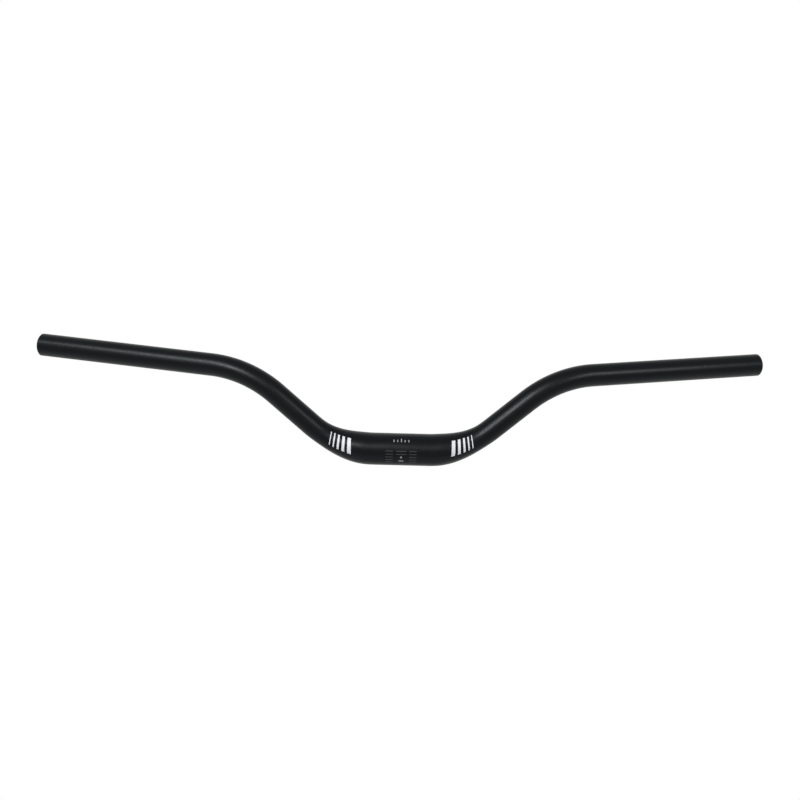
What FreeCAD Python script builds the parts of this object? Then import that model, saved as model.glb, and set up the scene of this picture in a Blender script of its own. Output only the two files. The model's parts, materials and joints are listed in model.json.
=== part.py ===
"""Mountain bike handlebar: one swaged, butted and bent aluminium tube with a high rise.

Frame: the origin is the centre of the stem clamp, +X runs along the clamp towards one grip, +Y points to the
rider and +Z points up.  All lengths are in millimetres and all angles in degrees.
"""
import FreeCAD
import Part

import math
import os

from FreeCAD import Vector

# Overall shape of the tube's centreline
TIP_TO_TIP = 720.0          # between the centres of the two open ends
RISE = 76.0                 # from the clamp axis up to the corner of the upper bend
RISER_SLOPE = 40.5          # climb of the straight riser above the clamp axis
BACKSWEEP = 8.0             # turn of the grips towards the rider
UPSWEEP = 4.0               # climb of the grips above level
CLAMP_LENGTH = 54.0         # straight centre that the stem holds
LOWER_BEND_RADIUS = 95.0
UPPER_BEND_RADIUS = 108.0

# Section of the tube
CLAMP_DIAMETER = 31.8
GRIP_DIAMETER = 22.2
CLAMP_WALL = 2.8
GRIP_WALL = 2.0
TAPER_LEAD = 6.7            # full diameter kept from the clamp's end to the start of the taper
TAPER_LENGTH = 52.4         # length along the centreline over which the tube is swaged down
TAPER_STEP = 5.0            # greatest spacing of the sections that shape the taper
END_CHAMFER = 0.5           # broken edge of the open ends, outside and inside

RIDGE_UP = Vector(0, 0, 1)
MIRROR_AXIS = Vector(1, 0, 0)
ORIGIN = Vector(0, 0, 0)


class Straight:
    """A straight run of the centreline."""

    def __init__(self, start, direction, length):
        self.start = start
        self.direction = direction
        self.length = length

    def station(self, distance):
        """Point and tangent at a distance along the run."""
        return self.start + self.direction * distance, self.direction

    def sweep(self, begin, end, radius):
        """Round bar of one radius between two distances along the run."""
        point, tangent = self.station(begin)
        return Part.makeCylinder(radius, end - begin, point, tangent)


class Bend:
    """A circular bend of the centreline that starts along one direction and turns towards another."""

    def __init__(self, start, direction, towards, radius):
        self.direction = direction
        self.axis = direction.cross(towards).normalize()
        self.inward = self.axis.cross(direction)
        self.radius = radius
        self.angle = direction.getAngle(towards)
        self.length = radius * self.angle
        self.centre = start + self.inward * radius

    def station(self, distance):
        """Point and tangent at a distance along the bend."""
        turn = distance / self.radius
        point = self.centre - self.inward * (self.radius * math.cos(turn)) \
            + self.direction * (self.radius * math.sin(turn))
        return point, self.direction * math.cos(turn) + self.inward * math.sin(turn)

    def sweep(self, begin, end, radius):
        """Round bar of one radius between two distances along the bend."""
        point, tangent = self.station(begin)
        turn = math.degrees((end - begin) / self.radius)
        return round_face(point, tangent, radius).revolve(self.centre, self.axis, turn)


def round_face(point, tangent, radius):
    """Disc across the centreline."""
    return Part.Face(round_wire(point, tangent, radius))


def round_wire(point, tangent, radius):
    """Circle across the centreline, its seam always on the upper side."""
    side = tangent.cross(RIDGE_UP).normalize()
    circle = Part.Circle(point, tangent, radius)
    circle.XAxis = side.cross(tangent)
    return Part.Wire(circle.toShape())


def unit(azimuth, elevation):
    """Direction that turns from +X towards +Y by the azimuth, and climbs by the elevation."""
    flat = math.cos(math.radians(elevation))
    return Vector(flat * math.cos(math.radians(azimuth)), flat * math.sin(math.radians(azimuth)),
                  math.sin(math.radians(elevation)))


def setback(radius, before, after):
    """Distance from the corner of two directions to the start of the bend that rounds it."""
    return radius * math.tan(before.getAngle(after) / 2)


def arm_path():
    """Centreline of one arm, from the end of the clamp to the open end."""
    clamp_way = unit(0, 0)
    riser_way = unit(0, RISER_SLOPE)
    grip_way = unit(BACKSWEEP, UPSWEEP)
    lower_setback = setback(LOWER_BEND_RADIUS, clamp_way, riser_way)
    upper_setback = setback(UPPER_BEND_RADIUS, riser_way, grip_way)

    clamp_end = clamp_way * (CLAMP_LENGTH / 2)
    lower_corner = clamp_end + clamp_way * lower_setback
    riser_run = RISE / riser_way.z
    upper_corner = lower_corner + riser_way * riser_run
    grip_run = (TIP_TO_TIP / 2 - upper_corner.x) / grip_way.x

    riser_start = lower_corner + riser_way * lower_setback
    riser_end = upper_corner - riser_way * upper_setback
    grip_start = upper_corner + grip_way * upper_setback
    return [
        Bend(clamp_end, clamp_way, riser_way, LOWER_BEND_RADIUS),
        Straight(riser_start, riser_way, riser_run - lower_setback - upper_setback),
        Bend(riser_end, riser_way, grip_way, UPPER_BEND_RADIUS),
        Straight(grip_start, grip_way, grip_run - upper_setback),
    ]


def taper_share(distance):
    """How far the tube has been swaged down at a distance from the clamp's end: 0 at the clamp, 1 at the grip."""
    share = min(max((distance - TAPER_LEAD) / TAPER_LENGTH, 0), 1)
    return share * share * (3 - 2 * share)


def swaged(clamp_value, grip_value):
    """Rule that blends a value of the clamp into one of the grip along the taper."""
    return lambda distance: clamp_value + (grip_value - clamp_value) * taper_share(distance)


def taper_loft(run, run_start, begin, end, radius_at):
    """Tapered length of one run, lofted through circles across the centreline."""
    steps = math.ceil((end - begin) / TAPER_STEP)
    sections = []
    for step in range(steps + 1):
        distance = begin + (end - begin) * step / steps
        sections.append(round_wire(*run.station(distance), radius_at(run_start + distance)))
    return Part.makeLoft(sections, True)


def solid_arm(path, radius_at):
    """Solid round bar along an arm, with the radius that the rule gives at each place."""
    pieces = []
    run_start = 0
    taper_end = TAPER_LEAD + TAPER_LENGTH
    for run in path:
        marks = [0, TAPER_LEAD - run_start, taper_end - run_start, run.length]
        cuts = sorted(mark for mark in set(marks) if 0 <= mark <= run.length)
        for begin, end in zip(cuts, cuts[1:]):
            middle = run_start + (begin + end) / 2
            if TAPER_LEAD < middle < taper_end:
                pieces.append(taper_loft(run, run_start, begin, end, radius_at))
            else:
                pieces.append(run.sweep(begin, end, radius_at(middle)))
        run_start += run.length
    return pieces


def solid_bar(path, clamp_radius, grip_radius):
    """Solid round bar from one open end to the other."""
    arm = solid_arm(path, swaged(clamp_radius, grip_radius))
    clamp = Part.makeCylinder(clamp_radius, CLAMP_LENGTH, Vector(-CLAMP_LENGTH / 2, 0, 0), MIRROR_AXIS)
    other_arm = [piece.mirror(ORIGIN, MIRROR_AXIS) for piece in arm]
    return clamp.multiFuse(arm + other_arm).removeSplitter()


def end_rims(bar, tips):
    """Circular edges that lie in the planes of the open ends."""
    return [edge for edge in bar.Edges
            if any((edge.CenterOfMass - tip).Length < END_CHAMFER for tip in tips)]


def handlebar():
    """The whole tube: outer form less the bore, with broken edges at both ends."""
    path = arm_path()
    outer = solid_bar(path, CLAMP_DIAMETER / 2, GRIP_DIAMETER / 2)
    bore = solid_bar(path, CLAMP_DIAMETER / 2 - CLAMP_WALL, GRIP_DIAMETER / 2 - GRIP_WALL)
    tube = outer.cut(bore)
    tip, _ = path[-1].station(path[-1].length)
    tips = [tip, Vector(-tip.x, tip.y, tip.z)]
    return tube.makeChamfer(END_CHAMFER, end_rims(tube, tips))


os.makedirs("parts", exist_ok=True)
handlebar().exportStep("parts/handlebar.step")
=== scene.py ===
"""Dress the mountain bike handlebar: its satin black tube, its printed marks, the studio and the camera."""
import json
import logging
import math
from collections.abc import Callable, Iterator
from dataclasses import dataclass, field
from enum import Enum

import bpy
from mathutils import Matrix, Vector


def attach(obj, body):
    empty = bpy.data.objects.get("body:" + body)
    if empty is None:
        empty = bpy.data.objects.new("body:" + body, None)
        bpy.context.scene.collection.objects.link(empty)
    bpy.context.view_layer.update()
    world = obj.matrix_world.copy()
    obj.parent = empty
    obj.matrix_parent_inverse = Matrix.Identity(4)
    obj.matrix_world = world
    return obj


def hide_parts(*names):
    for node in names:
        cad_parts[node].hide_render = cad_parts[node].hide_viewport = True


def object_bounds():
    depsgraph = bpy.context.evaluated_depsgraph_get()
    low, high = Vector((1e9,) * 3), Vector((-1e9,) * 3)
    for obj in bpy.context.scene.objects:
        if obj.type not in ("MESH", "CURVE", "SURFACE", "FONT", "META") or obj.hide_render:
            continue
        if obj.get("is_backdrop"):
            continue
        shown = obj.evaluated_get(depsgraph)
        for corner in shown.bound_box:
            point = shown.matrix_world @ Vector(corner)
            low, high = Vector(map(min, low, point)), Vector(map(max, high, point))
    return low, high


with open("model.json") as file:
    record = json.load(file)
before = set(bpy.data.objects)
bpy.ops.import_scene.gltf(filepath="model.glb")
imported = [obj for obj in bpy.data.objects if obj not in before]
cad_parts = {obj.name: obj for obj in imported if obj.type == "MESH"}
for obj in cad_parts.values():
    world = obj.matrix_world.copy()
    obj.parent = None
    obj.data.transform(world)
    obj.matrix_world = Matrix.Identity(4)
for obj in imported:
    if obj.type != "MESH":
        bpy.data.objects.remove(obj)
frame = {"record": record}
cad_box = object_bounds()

LOG = logging.getLogger("handlebar")

Colour = tuple[float, float, float, float]
Span = tuple[float, float]
Rule = Callable[[float], tuple[Vector, Vector]]

MM = 0.001
FULL_TURN = 2 * math.pi
ORIGIN = Vector((0, 0, 0))
UP = Vector((0, 0, 1))
WHITE = (1, 1, 1, 1)
# Share of the way along a side at which its middle lies
MIDDLE = 0.5
NOISE_MEAN = 0.5
# Distance of a Bump node whose heights are given in metres
BUMP_METRE = 1.0
# Edges that turn by more than this are shaded as corners
CRISP_ANGLE = math.radians(30)
ROOT_BODY = "root"
TUBE_NODE = "handlebar"


class Side(Enum):
    """Which arm of the bar, as the sign of its X."""

    LEFT = -1
    RIGHT = 1


class Slot(Enum):
    """Material slots of the record."""

    TUBE = "tube"
    PRINT = "print"


class Mount(Enum):
    """Mounts of the record that give the tube its sizes."""

    CLAMP = "stem_clamp"
    GRIP = "grip_right"
    PLUG = "end_plug_right"

    def entry(self) -> dict:
        """The mount's entry in the record."""
        return next(mount for mount in frame["record"]["mounts"] if mount["name"] == self.value)

    def place(self) -> Vector:
        """The middle of the mount, in metres."""
        return Vector(self.entry()["pos_m"])

    def axis(self) -> Vector:
        """The way that the mating part leaves."""
        return Vector(self.entry()["axis"]).normalized()

    def radius(self) -> float:
        """The mount's radius, in metres."""
        return self.entry()["dims"]["r_mm"] * MM

    def length(self) -> float:
        """The length of the mount's wall, in metres."""
        return self.entry()["dims"]["length_mm"] * MM


@dataclass(frozen=True)
class Mottle:
    """Sizes of a fractal noise.

    Attributes:
        cell: Size of the coarsest blotch, in metres.
        octaves: Number of finer octaves.
        weight: Weight of each finer octave against the one before.
    """

    cell: float
    octaves: float
    weight: float


BLASTED_GRAIN = Mottle(0.4 * MM, 2, 0.5)


@dataclass
class Value:
    """A number socket, on which Python's operators add Math nodes.

    Attributes:
        maker: The node maker that owns the tree.
        socket: The output socket that carries the number.
    """

    maker: "NodeMaker"
    socket: bpy.types.NodeSocket

    def _math(self, operation: str, first: "Value | float", second: "Value | float") -> "Value":
        """Add a Math node.

        Args:
            operation: Blender's name for the operation.
            first: Left operand.
            second: Right operand.

        Returns:
            The result as another value.
        """
        node = self.maker.node("ShaderNodeMath", {"operation": operation}, {0: first, 1: second})
        return Value(self.maker, node.outputs[0])

    def __add__(self, other: "Value | float") -> "Value":
        """Sum."""
        return self._math("ADD", self, other)

    def __radd__(self, other: float) -> "Value":
        """Sum with a number on the left."""
        return self._math("ADD", other, self)

    def __sub__(self, other: "Value | float") -> "Value":
        """Difference."""
        return self._math("SUBTRACT", self, other)

    def __rsub__(self, other: float) -> "Value":
        """Difference from a number on the left."""
        return self._math("SUBTRACT", other, self)

    def __mul__(self, other: "Value | float") -> "Value":
        """Product."""
        return self._math("MULTIPLY", self, other)

    def __rmul__(self, other: float) -> "Value":
        """Product with a number on the left."""
        return self._math("MULTIPLY", other, self)

    def larger(self, other: "Value | float") -> "Value":
        """The larger of two values."""
        return self._math("MAXIMUM", self, other)


class NodeMaker:
    """Builds one node tree from node types, settings and sockets."""

    def __init__(self, tree: bpy.types.NodeTree) -> None:
        """Start with an empty tree.

        Args:
            tree: The tree to fill.
        """
        self.tree = tree
        tree.nodes.clear()

    def node(self, kind: str, settings: dict | None = None, sockets: dict | None = None) -> bpy.types.Node:
        """Add any node.

        Args:
            kind: The node's type.
            settings: Properties, set first.
            sockets: Values or links for the inputs, by name or number.

        Returns:
            The new node.
        """
        node = self.tree.nodes.new(kind)
        for name, setting in (settings or {}).items():
            setattr(node, name, setting)
        for name, given in (sockets or {}).items():
            source = given.socket if isinstance(given, Value) else given
            if isinstance(source, bpy.types.NodeSocket):
                self.tree.links.new(source, node.inputs[name])
            else:
                node.inputs[name].default_value = source
        return node

    def value(self, node: bpy.types.Node, output: str | int = 0) -> Value:
        """An output of a node as a value for maths."""
        return Value(self, node.outputs[output])

    def seen(self) -> Value:
        """Tell the rays that see a surface from those that only light others.

        Returns:
            1 for the rays of the eye, of gloss and of glass, and 0 for the rest.
        """
        path = self.node("ShaderNodeLightPath")
        sight = self.value(path, "Is Camera Ray").larger(self.value(path, "Is Glossy Ray"))
        return sight.larger(self.value(path, "Is Transmission Ray"))

    def noise(self, mottle: Mottle) -> Value:
        """Fractal noise fixed to the object.

        Args:
            mottle: Its sizes.

        Returns:
            The noise, from 0 to 1 about a mean of a half.
        """
        place = self.node("ShaderNodeTexCoord").outputs["Object"]
        sockets = {"Vector": place, "Scale": 1 / mottle.cell, "Detail": mottle.octaves,
                   "Roughness": mottle.weight}
        return self.value(self.node("ShaderNodeTexNoise", sockets=sockets), "Fac")

    def fade(self, measure: Value, start: float, end: float) -> Value:
        """A smooth step.

        Args:
            measure: The measure that it follows.
            start: Measure at which it leaves 0.
            end: Measure at which it reaches 1.

        Returns:
            The step, from 0 to 1.
        """
        node = self.node("ShaderNodeMapRange", {"interpolation_type": "SMOOTHSTEP"},
                         {"Value": measure, "From Min": start, "From Max": end})
        return self.value(node, "Result")

    def blend(self, share: Value, first: Colour, second: Colour) -> bpy.types.NodeSocket:
        """Mix two colours.

        Args:
            share: 0 for the first colour, 1 for the second.
            first: Red, green, blue and alpha.
            second: Red, green, blue and alpha.

        Returns:
            The mixed colour's socket.
        """
        node = self.node("ShaderNodeMix", {"data_type": "RGBA", "clamp_factor": True}, {"Factor": share})
        colours = [socket for socket in node.inputs if socket.type == "RGBA"]
        colours[0].default_value = first
        colours[1].default_value = second
        return next(socket for socket in node.outputs if socket.type == "RGBA")

    def bump(self, height: Value) -> bpy.types.NodeSocket:
        """Shade a surface as if it were raised.

        Args:
            height: How far it is raised, in metres.

        Returns:
            The socket of the new normal.
        """
        node = self.node("ShaderNodeBump", sockets={"Height": height, "Distance": BUMP_METRE})
        return node.outputs["Normal"]

    def mix(self, share: Value, first: bpy.types.NodeSocket,
            second: bpy.types.NodeSocket) -> bpy.types.NodeSocket:
        """Mix two shaders.

        Args:
            share: 0 for the first shader, 1 for the second.
            first: The first shader.
            second: The second shader.

        Returns:
            The mixed shader's socket.
        """
        node = self.node("ShaderNodeMixShader", sockets={"Fac": share, 1: first, 2: second})
        return node.outputs["Shader"]

    def show(self, shader: bpy.types.NodeSocket) -> None:
        """Put a shader on the material's surface."""
        self.node("ShaderNodeOutputMaterial", sockets={"Surface": shader})


def new_material(name: str) -> tuple[bpy.types.Material, NodeMaker]:
    """Make an empty node material.

    Args:
        name: The material's name.

    Returns:
        The material and the maker of its tree.
    """
    material = bpy.data.materials.new(name)
    material.use_nodes = True
    return material, NodeMaker(material.node_tree)


@dataclass(frozen=True)
class BlackAnodise:
    """Bead-blasted aluminium under a satin black anodised skin.

    Attributes:
        cool: Tone of the bluish patches.
        warm: Tone of the neutral patches.
        sheen_tint: Tint of the light that the skin throws back.
        patches: Patches of tone.
        clouds: Faint clouds in the gloss.
        dimples: Shallow dimples that give the sheen its grain.
        dimple_depth: Depth of the dimples, in metres.
        pits: Fine blasted pits.
        pit_depth: Depth of the pits, in metres.
        roughness: Mean roughness.
        roughness_swing: Change of roughness over the clouds.
        gloss: Specular level of the sealed skin.
    """

    cool: Colour = (0.0010, 0.0016, 0.0028, 1)
    warm: Colour = (0.0018, 0.0018, 0.0019, 1)
    sheen_tint: Colour = (0.90, 0.97, 1.0, 1)
    patches: Mottle = Mottle(60 * MM, 3, 0.55)
    clouds: Mottle = Mottle(6 * MM, 4, 0.6)
    dimples: Mottle = Mottle(1.2 * MM, 2, 0.5)
    dimple_depth: float = 0.045 * MM
    pits: Mottle = BLASTED_GRAIN
    pit_depth: float = 0.03 * MM
    roughness: float = 0.35
    roughness_swing: float = 0.16
    gloss: float = 0.18

    def build(self) -> bpy.types.Material:
        """Make the material.

        Returns:
            The material.
        """
        material, maker = new_material("black_anodise")
        tone = maker.blend(maker.noise(self.patches), self.cool, self.warm)
        roughness = self.roughness + (maker.noise(self.clouds) - NOISE_MEAN) * self.roughness_swing
        height = maker.noise(self.dimples) * self.dimple_depth + maker.noise(self.pits) * self.pit_depth
        skin = maker.node("ShaderNodeBsdfPrincipled", sockets={
            "Base Color": tone,
            "Roughness": roughness,
            "Specular IOR Level": self.gloss,
            "Specular Tint": self.sheen_tint,
            "Normal": maker.bump(height),
        })
        maker.show(skin.outputs["BSDF"])
        return material


@dataclass(frozen=True)
class PrintInk:
    """Pad-printed ink, slightly uneven in cover.

    Attributes:
        name: The material's name.
        full: Tone where the ink lies thick.
        thin: Tone where it lies thin.
        cover: Uneven spots.
        pits: Pits of the blasted metal that show through.
        pit_depth: Depth of those pits, in metres.
        roughness: Roughness of the dry ink.
    """

    name: str
    full: Colour
    thin: Colour
    cover: Mottle = Mottle(1.5 * MM, 3, 0.6)
    pits: Mottle = BLASTED_GRAIN
    pit_depth: float = 0.008 * MM
    roughness: float = 0.45

    def build(self) -> bpy.types.Material:
        """Make the material.

        Returns:
            The material.
        """
        material, maker = new_material(self.name)
        skin = maker.node("ShaderNodeBsdfPrincipled", sockets={
            "Base Color": maker.blend(maker.noise(self.cover), self.thin, self.full),
            "Roughness": self.roughness,
            "Normal": maker.bump(maker.noise(self.pits) * self.pit_depth),
        })
        maker.show(skin.outputs["BSDF"])
        return material


WHITE_INK = PrintInk("white_ink", full=(0.76, 0.77, 0.80, 1), thin=(0.64, 0.65, 0.68, 1))
SILVER_INK = PrintInk("silver_ink", full=(0.27, 0.28, 0.295, 1), thin=(0.22, 0.23, 0.24, 1))
GREY_INK = PrintInk("grey_ink", full=(0.042, 0.046, 0.052, 1), thin=(0.027, 0.030, 0.034, 1))


@dataclass
class Station:
    """A place on the centreline.

    Attributes:
        point: The place, in metres.
        along: Tangent, always towards +X.
        front: Square to the tangent, level, towards the front wheel.
        top: Square to both, upwards.
    """

    point: Vector
    along: Vector
    front: Vector = field(init=False)
    top: Vector = field(init=False)

    def __post_init__(self) -> None:
        """Work out the two directions across the tube."""
        self.front = self.along.cross(UP).normalized()
        self.top = self.front.cross(self.along)

    def surface(self, radius: float, angle: float) -> Vector:
        """A point on a circle round the centreline.

        Args:
            radius: The circle's radius, in metres.
            angle: Turn from the front upwards, in radians.

        Returns:
            The point, in metres.
        """
        return self.point + (self.front * math.cos(angle) + self.top * math.sin(angle)) * radius


@dataclass
class Centreline:
    """The tube's centreline and radii, from the record's mounts and a few sizes that they don't give.

    Attributes:
        riser_slope: Climb of the straight riser above the clamp, in radians.
        taper_lead: Full diameter kept past the clamp's end, in metres.
        taper_length: Length over which the tube narrows, in metres.
        clamp_wall: Wall at the clamp, in metres.
        end_chamfer: Broken edge of the open ends, in metres.
        half_clamp: Half the length of the straight clamp, in metres.
        reach: Length of the centreline from its middle to an open end, in metres.
    """

    riser_slope: float = math.radians(40.5)
    taper_lead: float = 6.7 * MM
    taper_length: float = 52.4 * MM
    clamp_wall: float = 2.8 * MM
    end_chamfer: float = 0.5 * MM
    half_clamp: float = field(init=False)
    reach: float = field(init=False)

    def __post_init__(self) -> None:
        """Find the two corners of an arm and the bends that round them."""
        grip_way = Mount.GRIP.axis()
        grip_length = Mount.GRIP.length() + self.end_chamfer
        grip_start = Mount.GRIP.place() - grip_way * (Mount.GRIP.length() / 2)
        riser_way = Vector((math.cos(self.riser_slope), 0, math.sin(self.riser_slope)))
        clamp_way = Mount.CLAMP.axis()

        upper_setback = grip_start.y / grip_way.y
        upper_corner = grip_start - grip_way * upper_setback
        lower_corner = upper_corner - riser_way * (upper_corner.z / riser_way.z)
        self.half_clamp = Mount.CLAMP.length() / 2
        lower_setback = lower_corner.x - self.half_clamp
        riser_length = (upper_corner - lower_corner).length - lower_setback - upper_setback

        self._runs = [
            self._straight(ORIGIN, clamp_way, self.half_clamp),
            self._bend(lower_corner, clamp_way, riser_way, lower_setback),
            self._straight(lower_corner + riser_way * lower_setback, riser_way, riser_length),
            self._bend(upper_corner, riser_way, grip_way, upper_setback),
            self._straight(grip_start, grip_way, grip_length),
        ]
        self.reach = sum(length for length, _ in self._runs)

    @staticmethod
    def _straight(start: Vector, way: Vector, length: float) -> tuple[float, Rule]:
        """A straight run as its length and a rule for its points and tangents.

        Args:
            start: First point, in metres.
            way: Direction.
            length: Length, in metres.

        Returns:
            The length, and the rule.
        """
        return length, lambda distance: (start + way * distance, way)

    @staticmethod
    def _bend(corner: Vector, before: Vector, after: Vector, setback: float) -> tuple[float, Rule]:
        """A circular bend as its length and a rule for its points and tangents.

        Args:
            corner: Where the two directions would meet, in metres.
            before: Direction into the corner.
            after: Direction out of the corner.
            setback: Distance from the corner to the bend's ends, in metres.

        Returns:
            The length, and the rule.
        """
        turn = before.angle(after)
        radius = setback / math.tan(turn / 2)
        inward = (after - before * before.dot(after)).normalized()
        centre = corner - before * setback + inward * radius

        def rule(distance: float) -> tuple[Vector, Vector]:
            """Follow the bend.

            Args:
                distance: Length along the bend, in metres.

            Returns:
                The point and the tangent there.
            """
            angle = distance / radius
            point = centre - inward * (radius * math.cos(angle)) + before * (radius * math.sin(angle))
            return point, before * math.cos(angle) + inward * math.sin(angle)

        return radius * turn, rule

    def station(self, distance: float) -> Station:
        """The place at a distance from the middle of the bar.

        Args:
            distance: Length along the centreline in metres, below 0 on the left arm.

        Returns:
            The place with its directions.
        """
        left = min(abs(distance), self.reach)
        for length, rule in self._runs[:-1]:
            if left <= length:
                break
            left -= length
        else:
            rule = self._runs[-1][1]
        point, along = rule(left)
        if distance < 0:
            point = Vector((-point.x, point.y, point.z))
            along = Vector((along.x, -along.y, -along.z))
        return Station(point, along)

    def swaged(self, distance: float, clamp_value: float, grip_value: float) -> float:
        """Blend a value of the clamp into one of the grip along the taper.

        Args:
            distance: Length along the centreline, in metres.
            clamp_value: Value at the clamp.
            grip_value: Value at the grip.

        Returns:
            The value at that place.
        """
        share = (abs(distance) - self.half_clamp - self.taper_lead) / self.taper_length
        share = min(max(share, 0), 1)
        return clamp_value + (grip_value - clamp_value) * share * share * (3 - 2 * share)

    def outer_radius(self, distance: float) -> float:
        """Outside radius at a distance from the middle, in metres."""
        return self.swaged(distance, Mount.CLAMP.radius(), Mount.GRIP.radius())

    def bore_radius(self, distance: float) -> float:
        """Inside radius at a distance from the middle, in metres."""
        return self.swaged(distance, Mount.CLAMP.radius() - self.clamp_wall, Mount.PLUG.radius())


def add_object(name: str, points: list[Vector], faces: list[tuple[int, ...]],
               material: bpy.types.Material) -> bpy.types.Object:
    """Make a smooth mesh object with crisp corners and put it in the scene.

    Args:
        name: Name of the piece.
        points: Corners, in metres.
        faces: Corner numbers of each face.
        material: Finish of the whole piece.

    Returns:
        The new object.
    """
    mesh = bpy.data.meshes.new(name)
    mesh.from_pydata([tuple(point) for point in points], [], faces)
    mesh.validate()
    mesh.polygons.foreach_set("use_smooth", [True] * len(mesh.polygons))
    mesh.set_sharp_from_angle(angle=CRISP_ANGLE)
    mesh.materials.append(material)
    piece = bpy.data.objects.new(name, mesh)
    bpy.context.scene.collection.objects.link(piece)
    return piece


@dataclass
class Tube:
    """The bent tube itself: outside, bore and square-cut open ends with broken edges.

    Attributes:
        line: Centreline and radii.
        finish: Finish of the metal.
        spacing: Greatest distance between rings, in metres.
        segments: Corners of each ring.
    """

    line: Centreline
    finish: BlackAnodise
    spacing: float = 2.5 * MM
    segments: int = 96

    def _ring_profile(self) -> Iterator[tuple[float, float]]:
        """Walk once round the tube's section, from the left end along the outside and back along the bore.

        Yields:
            Distance along the centreline, and radius.
        """
        line = self.line
        body = line.reach - line.end_chamfer
        steps = math.ceil(2 * body / self.spacing)
        stations = [body * (2 * step / steps - 1) for step in range(steps + 1)]
        for distance in stations:
            yield distance, line.outer_radius(distance)
        yield line.reach, line.outer_radius(line.reach) - line.end_chamfer
        yield line.reach, line.bore_radius(line.reach) + line.end_chamfer
        for distance in reversed(stations):
            yield distance, line.bore_radius(distance)
        yield -line.reach, line.bore_radius(line.reach) + line.end_chamfer
        yield -line.reach, line.outer_radius(line.reach) - line.end_chamfer

    def build(self) -> bpy.types.Object:
        """Make the tube's mesh and hang it on the frame in place of the plain solid.

        Returns:
            The tube.
        """
        rings = list(self._ring_profile())
        points = []
        for distance, radius in rings:
            station = self.line.station(distance)
            points += [station.surface(radius, FULL_TURN * corner / self.segments)
                       for corner in range(self.segments)]
        faces = []
        for ring in range(len(rings)):
            following = (ring + 1) % len(rings)
            for corner in range(self.segments):
                beside = (corner + 1) % self.segments
                faces.append((ring * self.segments + corner, following * self.segments + corner,
                              following * self.segments + beside, ring * self.segments + beside))
        piece = add_object("handlebar_tube", points, faces, self.finish.build())
        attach(piece, ROOT_BODY)
        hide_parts(TUBE_NODE)
        return piece


@dataclass
class Marks:
    """Printed marks: thin ink that follows the tube's surface.

    Attributes:
        line: Centreline and radii.
        ink_height: How far the ink stands proud of the metal, in metres.
        bite: How far its skirt goes into the metal, in metres.
        cell: Greatest size of a face, in metres.
        points: Corners of the fields added so far, in metres.
        faces: Corner numbers of their faces.
    """

    line: Centreline
    ink_height: float = 0.03 * MM
    bite: float = 0.05 * MM
    cell: float = 0.8 * MM
    points: list[Vector] = field(default_factory=list)
    faces: list[tuple[int, ...]] = field(default_factory=list)

    def patch(self, start: float, end: float, low: float, high: float, lean: float = 0.0,
              narrow: float = 0.0) -> None:
        """Add one inked field with four sides.

        Args:
            start: Distance of its first side along the centreline, in metres.
            end: Distance of its last side, in metres.
            low: Angle of its lower side from the front, in radians.
            high: Angle of its upper side, in radians.
            lean: Shift of the upper side along the tube, in metres.
            narrow: Share by which the upper side is shorter than the lower one.
        """
        girth = self.line.outer_radius((start + end) / 2) * (high - low)
        columns = max(1, math.ceil((end - start) / self.cell))
        rows = max(1, math.ceil(girth / self.cell))
        grid = []
        for row in range(rows + 1):
            climb = row / rows
            angle = low + (high - low) * climb
            shift = lean * (climb - MIDDLE)
            squeeze = 1 - narrow * climb
            for column in range(columns + 1):
                across = (column / columns - MIDDLE) * squeeze
                grid.append(((start + end) / 2 + (end - start) * across + shift, angle))
        self._shell(grid, columns + 1, rows + 1)

    def _shell(self, grid: list[tuple[float, float]], wide: int, tall: int) -> None:
        """Add a grid of places as a closed thin shell.

        Args:
            grid: Distance and angle of each place, row by row.
            wide: Places in a row.
            tall: Number of rows.
        """
        top = len(self.points)
        bottom = top + len(grid)
        for lift in (self.ink_height, -self.bite):
            for distance, angle in grid:
                radius = self.line.outer_radius(distance) + lift
                self.points.append(self.line.station(distance).surface(radius, angle))
        for row in range(tall - 1):
            for column in range(wide - 1):
                corner = row * wide + column
                face = (corner, corner + 1, corner + wide + 1, corner + wide)
                self.faces.append(tuple(top + number for number in face))
                self.faces.append(tuple(bottom + number for number in reversed(face)))
        rim = list(range(wide))
        rim += [row * wide + wide - 1 for row in range(1, tall)]
        rim += [(tall - 1) * wide + column for column in range(wide - 2, -1, -1)]
        rim += [row * wide for row in range(tall - 2, 0, -1)]
        for here, there in zip(rim, rim[1:] + rim[:1]):
            self.faces.append((top + here, bottom + here, bottom + there, top + there))

    def finish(self, name: str, ink: PrintInk) -> bpy.types.Object:
        """Turn the fields added so far into one printed piece.

        Args:
            name: Name of the piece.
            ink: Its finish.

        Returns:
            The printed piece.
        """
        piece = add_object(name, self.points, self.faces, ink.build())
        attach(piece, ROOT_BODY)
        return piece


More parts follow.
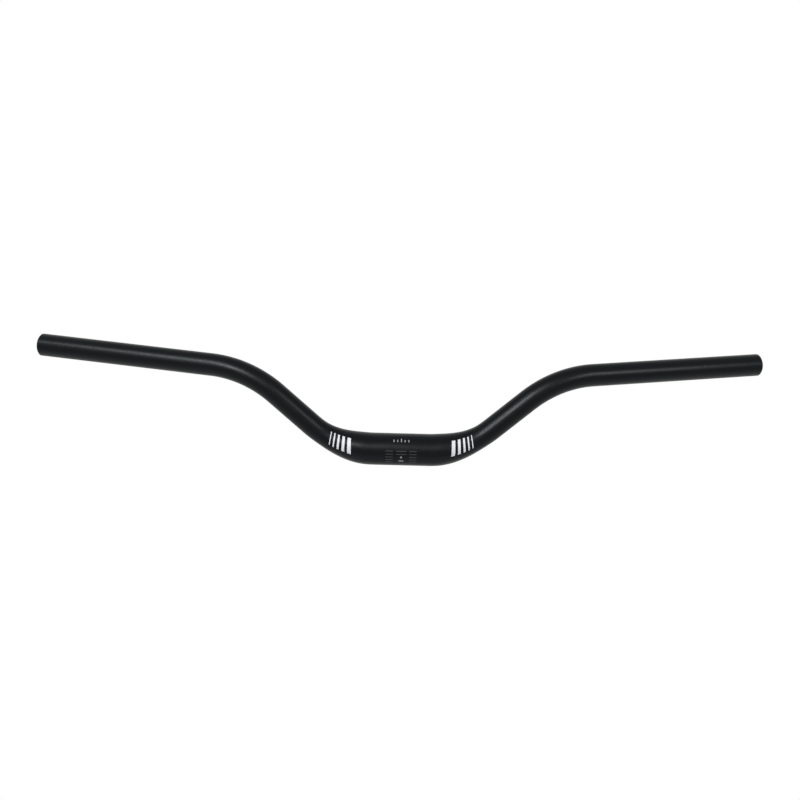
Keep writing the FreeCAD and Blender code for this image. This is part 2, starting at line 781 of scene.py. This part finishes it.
@dataclass
class FadingBars:
    """A row of plain bars on the front of a lower bend, narrower towards the grip.

    Attributes:
        line: Centreline and radii.
        ink: Finish.
        middle: Distance of the row's middle from the middle of the bar, in metres.
        widths: Width of each bar, in metres, from the clamp outwards.
        gap: Bare metal between bars, in metres.
        low: Angle of the lower ends from the front, in radians.
        high: Angle of the upper ends, in radians.
        lean: Shift of the upper ends towards the grip, in metres.
    """

    line: Centreline
    ink: PrintInk
    middle: float = 61 * MM
    widths: tuple[float, ...] = (3.7 * MM, 2.8 * MM, 2.1 * MM, 1.5 * MM, 1.0 * MM)
    gap: float = 2.8 * MM
    low: float = math.radians(-21)
    high: float = math.radians(40)
    lean: float = 4.0 * MM

    def build(self, side: Side) -> bpy.types.Object:
        """Print the row on one arm.

        Args:
            side: Which arm.

        Returns:
            The printed piece.
        """
        marks = Marks(self.line)
        whole = sum(self.widths) + self.gap * (len(self.widths) - 1)
        place = self.middle - whole / 2
        for width in self.widths:
            ends = sorted((side.value * place, side.value * (place + width)))
            marks.patch(*ends, self.low, self.high, side.value * self.lean)
            place += width + self.gap
        return marks.finish(f"fading_bars_{side.name.lower()}", self.ink)


@dataclass
class ClampScale:
    """Fine set-up marks on the front of the clamp: centring ticks, a faint ladder for the roll and an index.

    Attributes:
        line: Centreline and radii.
        bright: Ink of the ticks and the index.
        pale: Ink of the ladder.
        tick_pitch: Spacing of the centring ticks, in metres.
        ticks_each_side: Ticks on each side of the middle one.
        tick_width: Width of a tick, in metres.
        tick_low: Angle of the ticks' lower ends, in radians.
        tick_high: Angle of the ticks' upper ends, in radians.
        middle_high: Angle of the middle tick's upper end, in radians.
        rung_pitch: Angle between the ladder's rungs, in radians.
        rungs: Number of rungs.
        middle_rungs: Number of rungs from the top that also cross the middle.
        rung_top: Angle of the top rung, in radians.
        rung_width: Angle that a rung covers, in radians.
        side_spans: Start and end of each rung's two side lengths along the clamp, in metres.
        middle_span: Start and end of its middle length, in metres.
        arrow_half: Half the width of the index's arrow, in metres.
        arrow_angles: Angles of the arrow's foot and tip, in radians.
        arrow_narrow: Share of the arrow's width that is gone at its tip.
        foot_half: Half the length of the dash below the arrow, in metres.
        foot_angles: Angles of the dash's lower and upper sides, in radians.
    """

    line: Centreline
    bright: PrintInk
    pale: PrintInk
    tick_pitch: float = 3.6 * MM
    ticks_each_side: int = 2
    tick_width: float = 1.1 * MM
    tick_low: float = math.radians(39)
    tick_high: float = math.radians(48)
    middle_high: float = math.radians(53)
    rung_pitch: float = math.radians(11)
    rungs: int = 5
    middle_rungs: int = 2
    rung_top: float = math.radians(6)
    rung_width: float = math.radians(2.2)
    side_spans: tuple[Span, ...] = ((-15 * MM, -8 * MM), (8 * MM, 15 * MM))
    middle_span: Span = (-5 * MM, 5 * MM)
    arrow_half: float = 1.4 * MM
    arrow_angles: Span = (math.radians(-20), math.radians(-12))
    arrow_narrow: float = 0.8
    foot_half: float = 2.4 * MM
    foot_angles: Span = (math.radians(-36), math.radians(-30))

    def build(self) -> list[bpy.types.Object]:
        """Print the marks.

        Returns:
            The ticks, the ladder and the index.
        """
        return [self._ticks(), self._ladder(), self._index()]

    def _ticks(self) -> bpy.types.Object:
        """Print ticks either side of the bar's middle, the middle one taller.

        Returns:
            The ticks.
        """
        row = Marks(self.line)
        for tick in range(-self.ticks_each_side, self.ticks_each_side + 1):
            middle = tick * self.tick_pitch
            high = self.tick_high if tick else self.middle_high
            row.patch(middle - self.tick_width / 2, middle + self.tick_width / 2, self.tick_low, high)
        return row.finish("centring_ticks", self.bright)

    def _ladder(self) -> bpy.types.Object:
        """Print faint level rungs, one under the other.

        Returns:
            The ladder.
        """
        ladder = Marks(self.line)
        for rung in range(self.rungs):
            angle = self.rung_top - rung * self.rung_pitch
            spans = list(self.side_spans)
            if rung < self.middle_rungs:
                spans.append(self.middle_span)
            for start, end in spans:
                ladder.patch(start, end, angle - self.rung_width / 2, angle + self.rung_width / 2)
        return ladder.finish("roll_ladder", self.pale)

    def _index(self) -> bpy.types.Object:
        """Print a small arrow over a dash, in the ladder's middle.

        Returns:
            The index.
        """
        index = Marks(self.line)
        index.patch(-self.arrow_half, self.arrow_half, *self.arrow_angles, narrow=self.arrow_narrow)
        index.patch(-self.foot_half, self.foot_half, *self.foot_angles)
        return index.finish("roll_index", self.bright)


@dataclass(frozen=True)
class Lamp:
    """A square soft lamp that looks at the bar.

    Attributes:
        name: The lamp's name.
        place: Where it stands, in metres.
        power: Its power, in watts.
        size: Its width and height, in metres.
    """

    name: str
    place: tuple[float, float, float]
    power: float
    size: float = 0.4

    def build(self, target: Vector) -> bpy.types.Object:
        """Hang the lamp.

        Args:
            target: What it looks at, in metres.

        Returns:
            The lamp's object.
        """
        light = bpy.data.lights.new(self.name, "AREA")
        light.shape = "SQUARE"
        light.size = self.size
        light.energy = self.power
        lamp = bpy.data.objects.new(self.name, light)
        lamp.location = self.place
        lamp.rotation_euler = (target - lamp.location).to_track_quat("-Z", "Y").to_euler()
        bpy.context.scene.collection.objects.link(lamp)
        return lamp


@dataclass
class Studio:
    """A pale grey room with a white sweep behind and below the bar, a round floor and soft lamps.

    Attributes:
        room_light: Strength of the light that the room throws on everything.
        room_tone: Strength at which the room itself is seen, where 1 is white.
        sweep_tone: Strength at which the sweep is seen.
        behind_edge: Where the sweep begins and is full, as the cosine from straight behind the bar.
        below_edge: Where the sweep begins and is full, as the cosine from straight below the bar.
        floor_drop: Height of the lowest point of the bar above the floor, in metres.
        floor_edge: Distances from its middle between which the floor fades into the sweep, in metres.
        floor_tone: Tone of the floor.
        floor_worn: Tone of the floor's faint patches.
        floor_patches: Spread of those patches.
        floor_gloss: Specular level of the matt floor.
        floor_glow: Share of its own even tone in the floor as it is seen.
        lamps: The soft lamps.
    """

    room_light: float = 0.15
    room_tone: float = 0.56
    sweep_tone: float = 1.0
    behind_edge: Span = (0.52, 0.72)
    below_edge: Span = (0.36, 0.86)
    floor_drop: float = 1.15
    floor_edge: Span = (0.0, 1.0)
    floor_tone: Colour = (0.90, 0.90, 0.90, 1)
    floor_worn: Colour = (0.86, 0.86, 0.86, 1)
    floor_patches: Mottle = Mottle(0.5, 2, 0.5)
    floor_gloss: float = 0.0
    floor_glow: float = 0.6
    lamps: tuple[Lamp, ...] = (
        Lamp("high_lamp", (-1.3, -1.6, 1.45), 17.2),
        Lamp("key_lamp", (-0.6, -1.6, 0.95), 22.2),
        Lamp("fill_lamp", (1.1, -1.6, 0.8), 11.9),
    )

    def build(self) -> None:
        """Set up the room, the floor and the lamps."""
        self._room()
        lowest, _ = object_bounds()
        self._floor(UP * (Vector(lowest).z - self.floor_drop))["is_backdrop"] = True
        for lamp in self.lamps:
            lamp.build(ORIGIN)

    def _room(self) -> None:
        """Grey all round and white behind and below, alike to the eye, to gloss and to glass."""
        world = bpy.data.worlds.new("grey_room")
        world.use_nodes = True
        bpy.context.scene.world = world
        maker = NodeMaker(world.node_tree)
        seen = maker.seen()
        towards = maker.node("ShaderNodeTexCoord").outputs["Generated"]
        way = maker.node("ShaderNodeSeparateXYZ", sockets={"Vector": towards})
        behind = maker.fade(maker.value(way, "Y"), *self.behind_edge)
        below = maker.fade(-1 * maker.value(way, "Z"), *self.below_edge)
        tone = self.room_tone + (self.sweep_tone - self.room_tone) * behind.larger(below)
        strength = seen * tone + (1 - seen) * self.room_light
        light = maker.node("ShaderNodeBackground", sockets={"Color": WHITE, "Strength": strength})
        maker.node("ShaderNodeOutputWorld", sockets={"Surface": light.outputs["Background"]})

    def _floor(self, middle: Vector) -> bpy.types.Object:
        """Round pale floor that takes the bar's shadow and fades into the sweep.

        Args:
            middle: The floor's middle, in metres.

        Returns:
            The floor.
        """
        material, maker = new_material("pale_floor")
        tone = maker.blend(maker.noise(self.floor_patches), self.floor_tone, self.floor_worn)
        paint = maker.node("ShaderNodeBsdfPrincipled", sockets={
            "Base Color": tone, "Specular IOR Level": self.floor_gloss})
        glow = maker.node("ShaderNodeEmission", sockets={
            "Color": self.floor_tone, "Strength": self.sweep_tone})
        pale = maker.mix(maker.seen() * self.floor_glow, paint.outputs["BSDF"], glow.outputs["Emission"])
        place = maker.node("ShaderNodeTexCoord").outputs["Object"]
        reach = maker.node("ShaderNodeVectorMath", {"operation": "LENGTH"}, {0: place})
        gone = maker.fade(maker.value(reach, "Value"), *self.floor_edge)
        clear = maker.node("ShaderNodeBsdfTransparent")
        maker.show(maker.mix(gone, pale, clear.outputs["BSDF"]))
        _, half = self.floor_edge
        corners = [Vector((x, y, 0)) for x, y in ((-half, -half), (half, -half), (half, half), (-half, half))]
        floor = add_object("floor", corners, [(0, 1, 2, 3)], material)
        floor.location = middle
        return floor


@dataclass
class PhotoCamera:
    """The camera at the photograph's place.

    Attributes:
        lens: Focal length, in millimetres.
        sensor: Width of the sensor, in millimetres.
        distance: From the lens to the clamp along the view, in metres.
        right: Clamp's place to the right of the view's middle, in metres.
        below: Clamp's place below the view's middle, in metres.
        azimuth: Turn of the bar about the upright, in radians.
        elevation: Tilt of the view from above, in radians.
        roll: Turn of the bar in the picture, in radians.
        far: Farthest distance seen, in metres.
    """

    lens: float = 35.0
    sensor: float = 36.0
    distance: float = 0.76991
    right: float = 0.00089
    below: float = 0.04879
    azimuth: float = math.radians(-1.215)
    elevation: float = math.radians(9.385)
    roll: float = math.radians(1.564)
    far: float = 100.0

    def build(self) -> bpy.types.Object:
        """Place the camera and make it the scene's own.

        Returns:
            The camera's object.
        """
        data = bpy.data.cameras.new("photo_camera")
        data.lens = self.lens
        data.sensor_width = self.sensor
        data.clip_end = self.far
        camera = bpy.data.objects.new("photo_camera", data)
        # The bar's right, back and up become the picture's right, depth and up
        facing = Matrix(((1, 0, 0), (0, 0, -1), (0, 1, 0)))
        roll, azimuth, elevation = (
            Matrix.Rotation(angle, len(facing), axis)
            for angle, axis in ((self.roll, "Z"), (self.azimuth, "Y"), (self.elevation, "X")))
        turn = roll @ azimuth @ elevation @ facing
        offset = Vector((self.right, self.below, self.distance))
        eye = -(turn.transposed() @ offset)
        axes = Matrix((turn[0], -turn[1], -turn[2])).transposed()
        camera.matrix_world = Matrix.Translation(eye) @ axes.to_4x4()
        bpy.context.scene.collection.objects.link(camera)
        bpy.context.scene.camera = camera
        return camera


def report(piece: bpy.types.Object) -> None:
    """Log one finished piece with its number of faces."""
    LOG.info("%s: %d faces", piece.name, len(piece.data.polygons))


def main() -> None:
    """Build and dress every piece, set the studio and the camera, and work out the two boxes."""
    logging.basicConfig(level=logging.INFO, format="%(name)s %(message)s")
    bpy.context.scene.view_settings.view_transform = "Standard"
    line = Centreline()
    report(Tube(line, BlackAnodise()).build())
    for side in Side:
        report(FadingBars(line, WHITE_INK).build(side))
    for piece in ClampScale(line, SILVER_INK, GREY_INK).build():
        report(piece)
    PhotoCamera().build()
    Studio().build()
    boxes = {"cad": cad_box, "visual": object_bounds()}
    {name: [list(corner) for corner in box] for name, box in boxes.items()}


if __name__ == "__main__":
    main()
